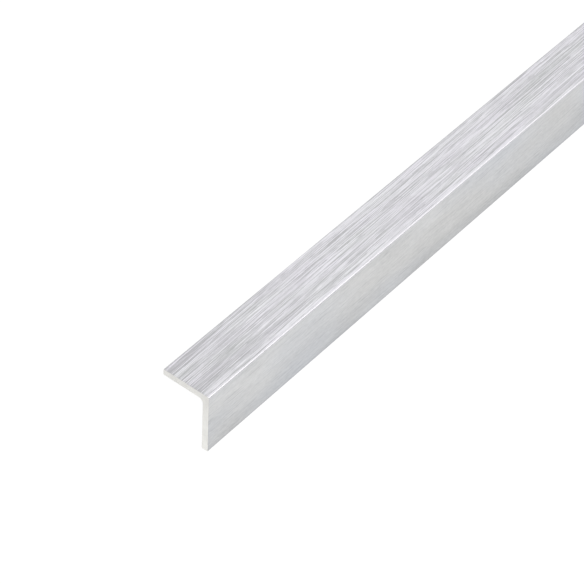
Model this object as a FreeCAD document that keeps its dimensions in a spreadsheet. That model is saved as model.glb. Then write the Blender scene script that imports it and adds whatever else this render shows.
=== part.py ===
"""Unequal-leg aluminium angle, sold as a bar.

The bar is one extruded section: a short leg and a long leg at a right angle, of one wall thickness,
with a rounded root inside, a small radius on the outer corner and lightly rounded toes. Both ends
are sawn square. Lengths are in millimetres.

The section is drawn with its outer corner at the origin, the short leg along -X and the long leg
along -Z. The bar is then turned about its length, so that it lies as it rests on a level floor:
corner up, on the inner edges of its two toes. +Y runs along the bar, +Z is up, and the origin is
on the floor under the middle of the bar.
"""

import FreeCAD, Part
import os
import Sketcher

# Driving dimensions, each with what it measures
SIZES = [
    ("short_leg", 15.0, "outside width of the short leg"),
    ("long_leg", 20.0, "outside width of the long leg"),
    ("wall", 2.0, "thickness of both legs"),
    ("bar_length", 1000.0, "length that the bar is sold in"),
    ("root_radius", 1.5, "inside corner between the legs"),
    ("corner_radius", 0.4, "outside corner between the legs"),
    ("toe_radius", 0.25, "long edges of both toes"),
]

# How near a vertex lies to the place that it is looked for at
TOLERANCE = 1e-4

# How the ends of a sketch line, and the sketch's own origin, are numbered in a constraint
START, END = 1, 2
SKETCH_ORIGIN = (-1, 1)


def make_sheet(doc):
    """The driving dimensions, in one named cell each."""
    sheet = doc.addObject("Spreadsheet::Sheet", "Sizes")
    for row, (name, value, meaning) in enumerate(SIZES, start=1):
        sheet.set(f"A{row}", name)
        sheet.set(f"B{row}", str(value))
        sheet.set(f"C{row}", meaning)
        sheet.setAlias(f"B{row}", name)
    doc.recompute()
    return sheet


def draw_section(body, sheet):
    """The sharp-cornered L, on the body's own XZ plane, with each size bound to its cell."""
    planes = {plane.Role: plane for plane in body.Origin.OriginFeatures}
    sketch = body.newObject("Sketcher::SketchObject", "Section")
    sketch.AttachmentSupport = [(planes["XZ_Plane"], "")]
    sketch.MapMode = "FlatFace"

    short_leg, long_leg, wall = sheet.short_leg, sheet.long_leg, sheet.wall
    corners = [
        FreeCAD.Vector(0, 0, 0),
        FreeCAD.Vector(-short_leg, 0, 0),
        FreeCAD.Vector(-short_leg, -wall, 0),
        FreeCAD.Vector(-wall, -wall, 0),
        FreeCAD.Vector(-wall, -long_leg, 0),
        FreeCAD.Vector(0, -long_leg, 0),
    ]
    outline = [
        sketch.addGeometry(Part.LineSegment(corner, following), False)
        for corner, following in zip(corners, corners[1:] + corners[:1])
    ]
    short_outer, short_toe, short_inner, long_inner, long_toe, long_outer = outline

    for line, following in zip(outline, outline[1:] + outline[:1]):
        sketch.addConstraint(Sketcher.Constraint("Coincident", line, END, following, START))
    for line in (short_outer, short_inner, long_toe):
        sketch.addConstraint(Sketcher.Constraint("Horizontal", line))
    for line in (short_toe, long_inner, long_outer):
        sketch.addConstraint(Sketcher.Constraint("Vertical", line))
    sketch.addConstraint(Sketcher.Constraint("Coincident", short_outer, START, *SKETCH_ORIGIN))
    sketch.addConstraint(Sketcher.Constraint("Equal", short_toe, long_toe))

    for line, size in ((short_outer, "short_leg"), (long_outer, "long_leg"), (short_toe, "wall")):
        length = Sketcher.Constraint("Distance", line, getattr(sheet, size))
        sketch.renameConstraint(sketch.addConstraint(length), size)
        sketch.setExpression(f"Constraints.{size}", f"Sizes.{size}")
    return sketch


def extrude(body, sketch):
    """The full length of the bar, half of it on each side of the section."""
    pad = body.newObject("PartDesign::Pad", "Extrusion")
    pad.Profile = sketch
    pad.SideType = "Symmetric"
    pad.setExpression("Length", "Sizes.bar_length")
    body.Document.recompute()
    return pad


def runs_through(edge, corner):
    """Whether both ends of an edge lie at one corner of the section."""
    x, z = corner
    return all(
        abs(vertex.X - x) < TOLERANCE and abs(vertex.Z - z) < TOLERANCE
        for vertex in edge.Vertexes
    )


def long_edges(shape, corners):
    """Names of the edges that run along the bar through these corners of the section."""
    return [
        f"Edge{number}"
        for number, edge in enumerate(shape.Edges, start=1)
        if any(runs_through(edge, corner) for corner in corners)
    ]


def round_off(body, base, name, corners, radius):
    """One fillet along the bar, at these corners of the section."""
    fillet = body.newObject("PartDesign::Fillet", name)
    fillet.Base = (base, long_edges(base.Shape, corners))
    fillet.setExpression("Radius", f"Sizes.{radius}")
    body.Document.recompute()
    return fillet


def lay_on_toes(body):
    """Turns the bar about its length until both inner toe edges touch the floor.

    In the drawn section those two edges lie (long_leg - wall) below and (short_leg - wall) beside
    the root corner, which gives the angle to turn through. It stays the same with rounded toes,
    because both toes have the same radius.
    """
    lean = "atan((Sizes.long_leg - Sizes.wall) / (Sizes.short_leg - Sizes.wall))"
    body.Placement = FreeCAD.Placement(
        FreeCAD.Vector(), FreeCAD.Rotation(FreeCAD.Vector(0, -1, 0), 1)
    )
    body.setExpression("Placement.Rotation.Angle", lean)
    body.setExpression(
        "Placement.Base.x",
        f"(Sizes.short_leg * cos({lean}) - Sizes.long_leg * sin({lean})) / 2",
    )
    body.setExpression(
        "Placement.Base.z",
        f"(Sizes.short_leg - Sizes.toe_radius) * sin({lean})"
        f" + (Sizes.wall - Sizes.toe_radius) * cos({lean}) + Sizes.toe_radius",
    )


def make_angle_bar(doc, sheet):
    """The whole bar: one section, extruded, rounded and laid down."""
    body = doc.addObject("PartDesign::Body", "AngleBar")
    body.Label = "angle_bar"
    bar = extrude(body, draw_section(body, sheet))

    short_leg, long_leg, wall = sheet.short_leg, sheet.long_leg, sheet.wall
    root = [(-wall, -wall)]
    outer_corner = [(0, 0)]
    toes = [(-short_leg, 0), (-short_leg, -wall), (-wall, -long_leg), (0, -long_leg)]
    bar = round_off(body, bar, "RootFillet", root, "root_radius")
    bar = round_off(body, bar, "OuterCorner", outer_corner, "corner_radius")
    round_off(body, bar, "ToeEdges", toes, "toe_radius")

    lay_on_toes(body)
    doc.recompute()
    return body


def check(doc, body):
    """Stops if an object failed to compute or the bar isn't one valid solid."""
    failed = [thing.Name for thing in doc.Objects if {"Invalid", "Error"} & set(thing.State)]
    if failed:
        raise RuntimeError(f"these objects failed to compute: {failed}")
    shape = body.Shape
    if shape.isNull() or not shape.isValid() or len(shape.Solids) != 1:
        raise RuntimeError(f"{body.Label} isn't one valid solid")


def main():
    doc = FreeCAD.newDocument("AngleBar")
    sheet = make_sheet(doc)
    bar = make_angle_bar(doc, sheet)
    check(doc, bar)
    os.makedirs("parts", exist_ok=True)
    bar.Shape.exportStep(f"parts/{bar.Label}.step")
    print(f"{bar.Label}: {bar.Shape.optimalBoundingBox()}, volume {bar.Shape.Volume:.1f} mm3")


main()
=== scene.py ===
"""Looks of a brushed aluminium angle bar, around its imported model.

The bar lies corner up on the inner edges of its two toes. Places on its section are given as two
distances from the sharp outer corner: along the short leg and along the long leg. Lengths are in
metres, unless a heading says otherwise.
"""

from math import atan2, cos, radians, sin, tan

import bmesh
import bpy
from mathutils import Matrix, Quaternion, Vector


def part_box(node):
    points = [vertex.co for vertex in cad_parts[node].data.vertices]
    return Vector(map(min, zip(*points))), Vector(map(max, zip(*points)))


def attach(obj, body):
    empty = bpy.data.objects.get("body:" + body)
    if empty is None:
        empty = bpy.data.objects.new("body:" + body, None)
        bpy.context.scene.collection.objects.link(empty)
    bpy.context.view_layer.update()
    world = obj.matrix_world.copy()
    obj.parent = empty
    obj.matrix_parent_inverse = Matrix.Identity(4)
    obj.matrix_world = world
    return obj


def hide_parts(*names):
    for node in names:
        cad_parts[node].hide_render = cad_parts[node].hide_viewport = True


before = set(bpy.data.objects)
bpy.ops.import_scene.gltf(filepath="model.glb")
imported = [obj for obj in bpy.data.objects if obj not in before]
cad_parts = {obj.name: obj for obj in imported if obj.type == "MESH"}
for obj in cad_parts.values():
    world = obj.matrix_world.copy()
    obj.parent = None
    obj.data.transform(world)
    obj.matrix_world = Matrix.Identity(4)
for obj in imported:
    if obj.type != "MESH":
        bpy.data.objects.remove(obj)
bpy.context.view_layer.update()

MM = 0.001

# The section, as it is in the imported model
SHORT_LEG = 15 * MM
LONG_LEG = 20 * MM
WALL = 2 * MM
ROOT_RADIUS = 1.5 * MM
CORNER_RADIUS = 0.4 * MM
TOE_RADIUS = 0.25 * MM
END_BREAK = 0.06 * MM

# Steps in each rounded edge
ROOT_STEPS = 12
CORNER_STEPS = 8
TOE_STEPS = 6
END_STEPS = 2

# The whole way round the sharp section
GIRTH = 2 * (SHORT_LEG + LONG_LEG)

# The sheet for baked textures: the bar, cut across into strips, lies on it strip above strip, and
# its two cut ends side by side above them. All but the number of strips are shares of the sheet.
STRIPS = 2
STRIP_HEIGHT = 0.44
STRIP_PITCH = 0.446
ENDS_START = 0.897
ENDS_HEIGHT = 0.098
NEAR_END_LEFT = 0.01
FAR_END_LEFT = 0.5

# The bar's place in the frame
low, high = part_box("angle_bar")
NEAR_END, FAR_END = low.y, high.y
BAR_LENGTH = FAR_END - NEAR_END
LEAN = atan2(LONG_LEG - WALL, SHORT_LEG - WALL)
ALONG_SHORT = Vector((-cos(LEAN), 0, -sin(LEAN)))
ALONG_LONG = Vector((sin(LEAN), 0, -cos(LEAN)))
CORNER = Vector((
    (SHORT_LEG * cos(LEAN) - LONG_LEG * sin(LEAN)) / 2,
    0,
    (SHORT_LEG - TOE_RADIUS) * sin(LEAN) + (WALL - TOE_RADIUS) * cos(LEAN) + TOE_RADIUS,
))

# The picture that the camera is fitted to, in pixels
PICTURE = 584
NEAR_CORNER_PIXEL = (209.0, 398.1)

# The camera: lens and sensor in millimetres, distances in metres, and angles in degrees
LENS = 145.5
SENSOR = 36.0
CAMERA_DEPTH = 583.5 * MM
CAMERA_AZIMUTH = -29.27
CAMERA_ELEVATION = 49.10
CAMERA_ROLL = 86.66
NEAREST_SEEN = 0.01
FURTHEST_SEEN = 100


def bar_point(short, long, along):
    """A point in the frame, from its distances along both legs and its place along the bar."""
    return CORNER + short * ALONG_SHORT + long * ALONG_LONG + Vector((0, along, 0))


def from_corner(point):
    """The distances of a point from the outer corner, along the short leg and the long leg."""
    offset = point - CORNER
    return offset.dot(ALONG_SHORT), offset.dot(ALONG_LONG)


def way_round(centre, short, long):
    """Metres round the sharp section to a point of the face that has this centre.

    The way goes from the outer corner over the short leg's outside and its toe, back inside to the
    long leg's toe, and over the long leg's outside to the corner.
    """
    centre_short, centre_long = centre
    if max(centre_short, centre_long) < CORNER_RADIUS:
        return GIRTH + short - long
    if centre_long < WALL / 2:
        return short + long
    if centre_short < WALL / 2:
        return GIRTH - short - long
    return 2 * SHORT_LEG + long - short


# Materials

# How far the darker edge of a cut end reaches, and how far the painted shade towards each end
# reaches
END_LINE = 0.6 * MM
PAINTED_END_SHADE = 55 * MM

# The part of a pattern's range over which the gloss changes, and over which the tint does
GLOSS_RANGE = (0.3, 0.7)
TINT_RANGE = (0.35, 0.65)

# How far the saw blade's centre lay beyond the outer corner, along the short leg and the long leg
BLADE_CENTRE = (90 * MM, 60 * MM)


class Nodes:
    """The node tree of one material, with short ways to add and join nodes."""

    def __init__(self, material):
        material.use_nodes = True
        self.tree = material.node_tree
        self.tree.nodes.clear()

    def add(self, kind, **settings):
        node = self.tree.nodes.new(kind)
        for name, value in settings.items():
            setattr(node, name, value)
        return node

    def join(self, output, node_input):
        self.tree.links.new(output, node_input)

    def feed(self, node_input, value):
        """Sets an input to a number, or joins it to an output."""
        if isinstance(value, bpy.types.NodeSocket):
            self.join(value, node_input)
        else:
            node_input.default_value = value

    def math(self, operation, *values):
        node = self.add("ShaderNodeMath", operation=operation)
        for node_input, value in zip(node.inputs, values):
            self.feed(node_input, value)
        return node.outputs[0]

    def grain_place(self):
        """Metres along the bar and round its section, or along both legs on a cut end."""
        split = self.add("ShaderNodeSeparateXYZ")
        self.join(self.add("ShaderNodeUVMap", uv_map="grain").outputs["UV"], split.inputs[0])
        return split.outputs["X"], split.outputs["Y"]

    def slanted(self, place, degrees):
        """The same place, with its lines turned a little from the bar's own direction."""
        along, across = place
        return along, self.math("MULTIPLY_ADD", along, tan(radians(degrees)), across)

    def stretched(self, place, size, seed):
        """A place counted in spots of this size, along the bar and across it."""
        vector = self.add("ShaderNodeCombineXYZ")
        for axis, distance, length in zip("XY", place, size):
            self.join(self.math("DIVIDE", distance, length), vector.inputs[axis])
        vector.inputs["Z"].default_value = seed
        return vector.outputs[0]

    def noise(self, place, size, seed, detail=1.0):
        """Soft noise whose spots measure size. Its values centre on 0.5."""
        texture = self.add("ShaderNodeTexNoise", noise_dimensions="3D")
        texture.inputs["Scale"].default_value = 1.0
        texture.inputs["Detail"].default_value = detail
        self.join(self.stretched(place, size, seed), texture.inputs["Vector"])
        return texture.outputs["Fac"]

    def brush_marks(self, place, size, seed):
        """Straight marks with pointed ends, each with a level of its own from 0 to 1."""
        texture = self.add("ShaderNodeTexVoronoi", voronoi_dimensions="3D", feature="F1")
        texture.inputs["Scale"].default_value = 1.0
        self.join(self.stretched(place, size, seed), texture.inputs["Vector"])
        split = self.add("ShaderNodeSeparateColor")
        self.join(texture.outputs["Color"], split.inputs[0])
        return split.outputs["Red"]

    def towards_ends(self, place, reach):
        """0.5 all along the bar, and down to 0 over this last stretch before its cut ends."""
        from_middle = self.math("ABSOLUTE", place[0])
        return self.spread(from_middle, BAR_LENGTH / 2 - reach, BAR_LENGTH / 2, 0.5, 0.0)

    def together(self, *layers):
        """Adds up patterns that centre on 0.5, each with its weight. The sum centres on 0.5 too."""
        total = 0.5
        for pattern, weight in layers:
            total = self.math("MULTIPLY_ADD", self.math("SUBTRACT", pattern, 0.5), weight, total)
        return total

    def spread(self, value, low_in, high_in, low_out, high_out, smooth=False):
        """Maps one range of values onto another."""
        node = self.add("ShaderNodeMapRange")
        node.interpolation_type = "SMOOTHSTEP" if smooth else "LINEAR"
        for name, number in (
            ("From Min", low_in), ("From Max", high_in), ("To Min", low_out), ("To Max", high_out),
        ):
            node.inputs[name].default_value = number
        self.feed(node.inputs["Value"], value)
        return node.outputs["Result"]

    def between(self, pattern, dark, pale):
        """A colour between a dark one and a pale one, by a pattern from 0 to 1."""
        node = self.add("ShaderNodeMix", data_type="RGBA")
        self.feed(node.inputs["Factor"], pattern)
        node.inputs["A"].default_value = (*dark, 1)
        node.inputs["B"].default_value = (*pale, 1)
        return node.outputs["Result"]

    def tinted(self, tone, tints, cool, warm):
        """A colour by tone, from a cool pair of dark and pale to a warm pair by another pattern."""
        node = self.add("ShaderNodeMix", data_type="RGBA")
        self.join(self.spread(tints, *TINT_RANGE, 0.0, 1.0), node.inputs["Factor"])
        self.join(self.between(tone, *cool), node.inputs["A"])
        self.join(self.between(tone, *warm), node.inputs["B"])
        return node.outputs["Result"]

    def gloss(self, pattern, matt, glossy):
        """A roughness by pattern, from a matt one to a glossier one."""
        return self.spread(pattern, *GLOSS_RANGE, matt, glossy)

    def bump(self, height, depth):
        """A surface normal from a height that runs from 0 to 1, with its real depth."""
        node = self.add("ShaderNodeBump")
        node.inputs["Strength"].default_value = 1.0
        node.inputs["Distance"].default_value = depth
        self.join(height, node.inputs["Height"])
        return node.outputs["Normal"]

    def metal(self, colour, roughness, normal=None, metallic=1.0, anisotropic=0.0):
        """Finishes the material as metal. Where its gloss is drawn out, it follows the grain."""
        shader = self.add("ShaderNodeBsdfPrincipled")
        self.feed(shader.inputs["Base Color"], colour)
        self.feed(shader.inputs["Roughness"], roughness)
        shader.inputs["Metallic"].default_value = metallic
        shader.inputs["Anisotropic"].default_value = anisotropic
        if normal is not None:
            self.join(normal, shader.inputs["Normal"])
        if anisotropic:
            tangent = self.add("ShaderNodeTangent", direction_type="UV_MAP", uv_map="grain")
            self.join(tangent.outputs[0], shader.inputs["Tangent"])
        output = self.add("ShaderNodeOutputMaterial")
        self.join(shader.outputs[0], output.inputs["Surface"])


def brushed_short_leg():
    """Coarse brushing along the bar, whose lines cross at small angles, with a painted highlight
    beside the corner and painted shade towards the ends.
    """
    material = bpy.data.materials.new("brushed_short_leg")
    nodes = Nodes(material)
    place = nodes.grain_place()
    hairlines = nodes.brush_marks(nodes.slanted(place, -0.2), (26 * MM, 0.17 * MM), seed=1.3)
    crossing = nodes.brush_marks(nodes.slanted(place, -1.7), (20 * MM, 0.28 * MM), seed=5.7)
    dashes = nodes.brush_marks(nodes.slanted(place, -0.8), (5 * MM, 0.32 * MM), seed=9.1)
    lines = nodes.noise(nodes.slanted(place, -0.9), (24 * MM, 0.25 * MM), detail=0.0, seed=3.0)
    flecks = nodes.noise(nodes.slanted(place, -1.0), (2.4 * MM, 0.5 * MM), seed=15.0)
    strokes = nodes.noise(nodes.slanted(place, -0.9), (40 * MM, 0.6 * MM), seed=7.0)
    patches = nodes.noise(place, (90 * MM, 5 * MM), seed=23.0)
    tints = nodes.noise(place, (20 * MM, 4 * MM), detail=2.0, seed=19.0)
    scratches = nodes.noise(nodes.slanted(place, -0.5), (30 * MM, 0.22 * MM), detail=0.0, seed=13.0)
    bright = nodes.spread(scratches, 0.62, 0.70, 0.5, 1.0)
    # A painted highlight beside the corner, patchy along the bar.
    corner_highlight_patches = nodes.noise(place, (24 * MM, 4 * MM), detail=0.0, seed=17.0)
    painted_corner_highlight = nodes.math(
        "MULTIPLY",
        nodes.spread(place[1], CORNER_RADIUS, 1.5 * MM, 1.0, 0.0, smooth=True),
        nodes.spread(corner_highlight_patches, 0.4, 0.6, 0.3, 1.0),
    )
    toe_line = nodes.spread(place[1], SHORT_LEG - 0.5 * MM, SHORT_LEG - TOE_RADIUS, 0.5, 0.0)
    relief = nodes.together(
        (hairlines, 0.8), (crossing, 0.38), (dashes, 0.45), (strokes, 0.2), (bright, 0.8),
        (lines, 1.35), (flecks, 0.4),
    )
    tone = nodes.together(
        (relief, 1.0), (patches, 0.2), (nodes.math("ADD", painted_corner_highlight, 0.5), 0.45), (toe_line, 0.4),
        # The longer fade towards the ends is painted shade.
        (nodes.towards_ends(place, END_LINE), 0.4), (nodes.towards_ends(place, PAINTED_END_SHADE), 0.5),
    )
    nodes.metal(
        nodes.tinted(
            tone, tints,
            cool=((0.535, 0.54, 0.545), (0.935, 0.93, 0.96)),
            warm=((0.54, 0.535, 0.555), (0.94, 0.92, 0.975)),
        ),
        nodes.gloss(strokes, 0.42, 0.34),
        nodes.bump(strokes, 0.010 * MM),
        anisotropic=0.4,
    )
    return material


def brushed_long_leg():
    """Finer, softer brushing, mottled and clouded, with dark streaks; painted shade darkens it
    towards the toe and in a line below the corner, and a painted highlight lies next to the corner.
    """
    material = bpy.data.materials.new("brushed_long_leg")
    nodes = Nodes(material)
    place = nodes.grain_place()
    hairlines = nodes.brush_marks(nodes.slanted(place, -0.9), (9 * MM, 0.30 * MM), seed=21.3)
    mottle = nodes.noise(nodes.slanted(place, 0.6), (1.7 * MM, 0.8 * MM), detail=2.0, seed=25.0)
    strokes = nodes.noise(nodes.slanted(place, 1.0), (22 * MM, 0.9 * MM), seed=23.0)
    streaks = nodes.noise(nodes.slanted(place, -0.4), (9 * MM, 0.45 * MM), detail=0.0, seed=24.0)
    dark = nodes.spread(streaks, 0.24, 0.34, 0.0, 0.5)
    clouds = nodes.noise(place, (18 * MM, 6 * MM), detail=2.0, seed=27.0)
    tints = nodes.noise(place, (60 * MM, 25 * MM), detail=2.0, seed=93.0)
    # Painted shade: the face grows darker towards the toe.
    painted_toe_shade = nodes.spread(place[1], GIRTH - LONG_LEG, GIRTH - 0.35 * LONG_LEG, 0.0, 1.0)
    toe_line = nodes.spread(
        place[1], GIRTH - LONG_LEG + TOE_RADIUS, GIRTH - LONG_LEG + 0.9 * MM, 0.0, 0.5
    )
    # Painted shade: a darker line just below the corner.
    painted_under_corner_shade = nodes.spread(place[1], GIRTH - 1.8 * MM, GIRTH - 0.9 * MM, 0.5, 0.35)
    # Painted highlight: brighter next to the corner, widening the ridge's highlight.
    painted_ridge_highlight = nodes.spread(place[1], GIRTH - 0.9 * MM, GIRTH - CORNER_RADIUS, 0.5, 1.0)
    relief = nodes.together((hairlines, 0.2), (mottle, 0.7), (strokes, 0.25), (dark, 0.7))
    tone = nodes.together(
        (relief, 1.0), (clouds, 0.35), (painted_toe_shade, 0.46), (toe_line, 0.9), (painted_under_corner_shade, 0.8),
        (painted_ridge_highlight, 0.95), (nodes.towards_ends(place, END_LINE), 0.3),
    )
    nodes.metal(
        nodes.tinted(
            tone, tints,
            cool=((0.617, 0.635, 0.669), (0.893, 0.908, 0.94)),
            warm=((0.631, 0.635, 0.635), (0.911, 0.908, 0.902)),
        ),
        nodes.gloss(clouds, 0.46, 0.40),
        nodes.bump(strokes, 0.006 * MM),
        anisotropic=0.3,
    )
    return material


def extruded_inside():
    """The inside as it left the die: plain satin, with long straight lines."""
    material = bpy.data.materials.new("extruded_inside")
    nodes = Nodes(material)
    place = nodes.grain_place()
    lines = nodes.noise(place, (400 * MM, 0.3 * MM), detail=3.0, seed=31.0)
    bands = nodes.noise(place, (700 * MM, 2.0 * MM), seed=37.0)
    relief = nodes.together((lines, 0.6), (bands, 0.4))
    nodes.metal(
        nodes.between(relief, (0.64, 0.65, 0.66), (0.82, 0.825, 0.835)),
        nodes.gloss(bands, 0.40, 0.34),
        nodes.bump(lines, 0.004 * MM),
        anisotropic=0.3,
    )
    return material


def drawn_toe():
    """The toes, which the brush doesn't reach, with lines from the die; their darker colour is
    painted shade.
    """
    material = bpy.data.materials.new("drawn_toe")
    nodes = Nodes(material)
    place = nodes.grain_place()
    lines = nodes.noise(place, (120 * MM, 0.15 * MM), detail=2.0, seed=33.0)
    stains = nodes.noise(place, (40 * MM, 3 * MM), seed=35.0)
    # The darker colour here is painted shade.
    nodes.metal(
        nodes.between(
            nodes.together((lines, 0.6), (stains, 0.5)), (0.46, 0.47, 0.48), (0.66, 0.67, 0.68)
        ),
        nodes.gloss(stains, 0.48, 0.42),
        nodes.bump(lines, 0.004 * MM),
    )
    return material


def rubbed_corner():
    """The outer corner, worn bright by the brushing of both faces."""
    material = bpy.data.materials.new("rubbed_corner")
    nodes = Nodes(material)
    wear = nodes.noise(nodes.grain_place(), (30 * MM, 0.5 * MM), detail=2.0, seed=41.0)
    nodes.metal(
        nodes.between(wear, (0.84, 0.825, 0.855), (0.99, 0.975, 1.0)),
        nodes.gloss(wear, 0.54, 0.44),
    )
    return material


def sawn_end():
    """The cut end: matt, with the faint arcs of the saw blade, and painted light that brightens it
    towards the long leg's toe.
    """
    material = bpy.data.materials.new("sawn_end")
    nodes = Nodes(material)
    place = nodes.grain_place()
    blade = [nodes.math("ADD", spot, beyond) for spot, beyond in zip(place, BLADE_CENTRE)]
    squares = [nodes.math("POWER", distance, 2.0) for distance in blade]
    radius = nodes.math("SQRT", nodes.math("ADD", *squares))
    arcs = nodes.noise((radius, place[1]), (0.22 * MM, 14 * MM), detail=2.0, seed=51.0)
    smears = nodes.noise(place, (2.2 * MM, 3.5 * MM), detail=2.0, seed=53.0)
    # Painted light: the long wall brightens towards its toe.
    towards_toe = nodes.spread(place[1], 0, LONG_LEG, 0.15, 0.85)
    nodes.metal(
        nodes.between(
            nodes.together((arcs, 0.3), (smears, 0.7), (towards_toe, 0.6)),
            (0.74, 0.73, 0.705), (0.965, 0.96, 0.93),
        ),
        0.62,
        nodes.bump(arcs, 0.006 * MM),
        metallic=0.75,
    )
    return material


# The bar

# The finishes, in the order that the bar gets their materials
SHORT_FACE, LONG_FACE, INSIDE, TOE, RUBBED, SAWN = range(6)

# A face that looks along the bar more than this belongs to a cut end
END_FACING = 0.5

# How strongly the large faces even out the shading of the rounded edges, from 1 to 100
LARGE_FACE_WEIGHT = 100


def section_face(mesh):
    """The L at the near end, with every corner rounded."""
    corners = [
        ((0, 0), CORNER_RADIUS, CORNER_STEPS),
        ((SHORT_LEG, 0), TOE_RADIUS, TOE_STEPS),
        ((SHORT_LEG, WALL), TOE_RADIUS, TOE_STEPS),
        ((WALL, WALL), ROOT_RADIUS, ROOT_STEPS),
        ((WALL, LONG_LEG), TOE_RADIUS, TOE_STEPS),
        ((0, LONG_LEG), TOE_RADIUS, TOE_STEPS),
    ]
    points = [mesh.verts.new(bar_point(*spot, NEAR_END)) for spot, _, _ in corners]
    mesh.faces.new(points)
    for point, (_, radius, steps) in zip(points, corners):
        bmesh.ops.bevel(
            mesh, geom=[point], offset=radius, offset_type="OFFSET", segments=steps,
            profile=0.5, affect="VERTICES", material=-1, clamp_overlap=False,
        )


def extrude_bar(mesh):
    """Pulls the section out to the far end and cuts the sides into strips."""
    pulled = bmesh.ops.extrude_face_region(mesh, geom=mesh.faces[:], use_keep_orig=True)
    moved = [item for item in pulled["geom"] if isinstance(item, bmesh.types.BMVert)]
    bmesh.ops.translate(mesh, verts=moved, vec=(0, BAR_LENGTH, 0))
    bmesh.ops.recalc_face_normals(mesh, faces=mesh.faces[:])
    for strip in range(1, STRIPS):
        bmesh.ops.bisect_plane(
            mesh, geom=mesh.verts[:] + mesh.edges[:] + mesh.faces[:],
            plane_co=(0, NEAR_END + BAR_LENGTH * strip / STRIPS, 0),
            plane_no=(0, 1, 0),
        )


def on_cut_end(face):
    """Whether a face looks along the bar more than out of its sides."""
    return abs(face.normal.y) > END_FACING


def break_ends(mesh):
    """Takes the sharpness off the outline of both cut ends."""
    outline = [edge for edge in mesh.edges if any(on_cut_end(face) for face in edge.link_faces)]
    bmesh.ops.bevel(
        mesh, geom=outline, offset=END_BREAK, offset_type="OFFSET", segments=END_STEPS,
        profile=0.5, affect="EDGES", material=-1, clamp_overlap=False,
    )


def finish_of(face):
    """Which finish a face has, from where it lies on the section."""
    if on_cut_end(face):
        return SAWN
    short, long = from_corner(face.calc_center_median())
    if max(short, long) < CORNER_RADIUS:
        return RUBBED
    if short > SHORT_LEG - TOE_RADIUS or long > LONG_LEG - TOE_RADIUS:
        return TOE
    if long < TOE_RADIUS:
        return SHORT_FACE
    if short < TOE_RADIUS:
        return LONG_FACE
    return INSIDE


def map_faces(mesh):
    """Maps every face for its grain and for baked textures.

    The grain map holds metres along the bar and metres round its section, or, on a cut end, metres
    along both legs. The bake map lays the strips and the two cut ends apart on one sheet.
    """
    grain = mesh.loops.layers.uv.new("grain")
    sheet = mesh.loops.layers.uv.new("OFBake")
    ends_scale = ENDS_HEIGHT / SHORT_LEG
    for face in mesh.faces:
        middle = face.calc_center_median()
        centre = from_corner(middle)
        strip = min(int((middle.y - NEAR_END) / BAR_LENGTH * STRIPS), STRIPS - 1)
        for loop in face.loops:
            short, long = from_corner(loop.vert.co)
            if face.material_index == SAWN:
                loop[grain].uv = (short, long)
                left = NEAR_END_LEFT if middle.y < 0 else FAR_END_LEFT
                loop[sheet].uv = (left + long * ends_scale, ENDS_START + short * ends_scale)
            else:
                along = loop.vert.co.y
                round_section = way_round(centre, short, long)
                loop[grain].uv = (along, round_section)
                share = (along - NEAR_END) / BAR_LENGTH * STRIPS - strip
                loop[sheet].uv = (
                    share, strip * STRIP_PITCH + round_section / GIRTH * STRIP_HEIGHT,
                )


def make_bar():
    """The bar: its section at full length, with its ends broken and its finishes on."""
    mesh = bmesh.new()
    section_face(mesh)
    extrude_bar(mesh)
    break_ends(mesh)
    for face in mesh.faces:
        face.material_index = finish_of(face)
        face.smooth = True
    map_faces(mesh)
    data = bpy.data.meshes.new("brushed_angle")
    mesh.to_mesh(data)
    mesh.free()
    for material in (
        brushed_short_leg(), brushed_long_leg(), extruded_inside(), drawn_toe(),
        rubbed_corner(), sawn_end(),
    ):
        data.materials.append(material)
    bar = bpy.data.objects.new("brushed_angle", data)
    bpy.context.scene.collection.objects.link(bar)
    evened = bar.modifiers.new("even_normals", "WEIGHTED_NORMAL")
    evened.weight = LARGE_FACE_WEIGHT
    evened.keep_sharp = True
    return bar


# The studio

# How far the floor reaches from its middle, its grey, and how much light it gives off
FLOOR_REACH = 30
FLOOR_GREY = 0.16
FLOOR_GLOW = 0.92

# The dome's colour, and how it brightens: a direction to face, the range on it, and the
# brightness at both ends
SKY_COLOUR = (0.99, 0.995, 1.0)
SIDE_LIGHT = ((1, 0, 0), -0.8, 0.8, 0.86, 0.52)
HIGH_PATCH = ((-0.22, 0.45, 0.865), 0.91, 0.985, 0.0, 1.52)


def make_floor():
    """A pale floor, bright enough that shadows on it stay faint."""
    mesh = bmesh.new()
    bmesh.ops.create_grid(mesh, x_segments=1, y_segments=1, size=FLOOR_REACH)
    data = bpy.data.meshes.new("floor")
    mesh.to_mesh(data)
    mesh.free()
    floor = bpy.data.objects.new("floor", data)
    bpy.context.scene.collection.objects.link(floor)
    material = bpy.data.materials.new("floor")
    nodes = Nodes(material)
    shader = nodes.add("ShaderNodeBsdfPrincipled")
    shader.inputs["Base Color"].default_value = (FLOOR_GREY, FLOOR_GREY, FLOOR_GREY, 1)
    shader.inputs["Roughness"].default_value = 1.0
    shader.inputs["Specular IOR Level"].default_value = 0.0
    shader.inputs["Emission Color"].default_value = (1, 1, 1, 1)
    shader.inputs["Emission Strength"].default_value = FLOOR_GLOW
    output = nodes.add("ShaderNodeOutputMaterial")
    nodes.join(shader.outputs[0], output.inputs["Surface"])
    data.materials.append(material)
    return floor


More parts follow.
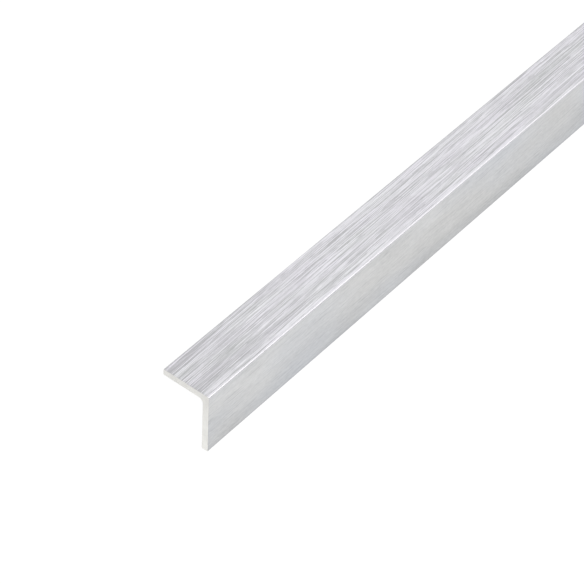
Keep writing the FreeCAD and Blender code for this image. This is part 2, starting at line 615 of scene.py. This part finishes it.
def make_sky():
    """A pale dome: a bright patch high up, and brighter on the short leg's side."""
    world = bpy.data.worlds.new("studio")
    bpy.context.scene.world = world
    world.use_nodes = True
    tree = world.node_tree
    tree.nodes.clear()
    direction = tree.nodes.new("ShaderNodeTexCoord")
    brightness = tree.nodes.new("ShaderNodeMath")
    brightness.operation = "ADD"
    for number, (towards, start, stop, first, last) in enumerate((SIDE_LIGHT, HIGH_PATCH)):
        facing = tree.nodes.new("ShaderNodeVectorMath")
        facing.operation = "DOT_PRODUCT"
        tree.links.new(direction.outputs["Generated"], facing.inputs[0])
        facing.inputs[1].default_value = towards
        ramp = tree.nodes.new("ShaderNodeMapRange")
        ramp.interpolation_type = "SMOOTHSTEP"
        for name, value in (
            ("From Min", start), ("From Max", stop), ("To Min", first), ("To Max", last),
        ):
            ramp.inputs[name].default_value = value
        tree.links.new(facing.outputs["Value"], ramp.inputs["Value"])
        tree.links.new(ramp.outputs["Result"], brightness.inputs[number])
    background = tree.nodes.new("ShaderNodeBackground")
    background.inputs["Color"].default_value = (*SKY_COLOUR, 1)
    tree.links.new(brightness.outputs[0], background.inputs["Strength"])
    output = tree.nodes.new("ShaderNodeOutputWorld")
    tree.links.new(background.outputs[0], output.inputs["Surface"])


def make_camera():
    """The photograph's view, rolled, with the bar's near corner at its own pixel."""
    data = bpy.data.cameras.new("camera")
    data.lens = LENS
    data.sensor_width = SENSOR
    data.clip_start = NEAREST_SEEN
    data.clip_end = FURTHEST_SEEN
    camera = bpy.data.objects.new("camera", data)
    bpy.context.scene.collection.objects.link(camera)
    azimuth, elevation = radians(CAMERA_AZIMUTH), radians(CAMERA_ELEVATION)
    back = Vector((
        sin(azimuth) * cos(elevation), -cos(azimuth) * cos(elevation), sin(elevation),
    ))
    turn = (-back).to_track_quat("-Z", "Y") @ Quaternion((0, 0, 1), radians(CAMERA_ROLL))
    pixel = SENSOR / LENS / PICTURE
    across = (NEAR_CORNER_PIXEL[0] - PICTURE / 2) * pixel * CAMERA_DEPTH
    down = (NEAR_CORNER_PIXEL[1] - PICTURE / 2) * pixel * CAMERA_DEPTH
    near_corner = bar_point(0, 0, NEAR_END)
    camera.location = near_corner - turn @ Vector((across, -down, -CAMERA_DEPTH))
    camera.rotation_mode = "QUATERNION"
    camera.rotation_quaternion = turn
    bpy.context.scene.camera = camera


bar = make_bar()
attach(bar, "root")
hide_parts("angle_bar")

make_floor()
make_sky()
make_camera()
bpy.context.scene.view_settings.view_transform = "Standard"
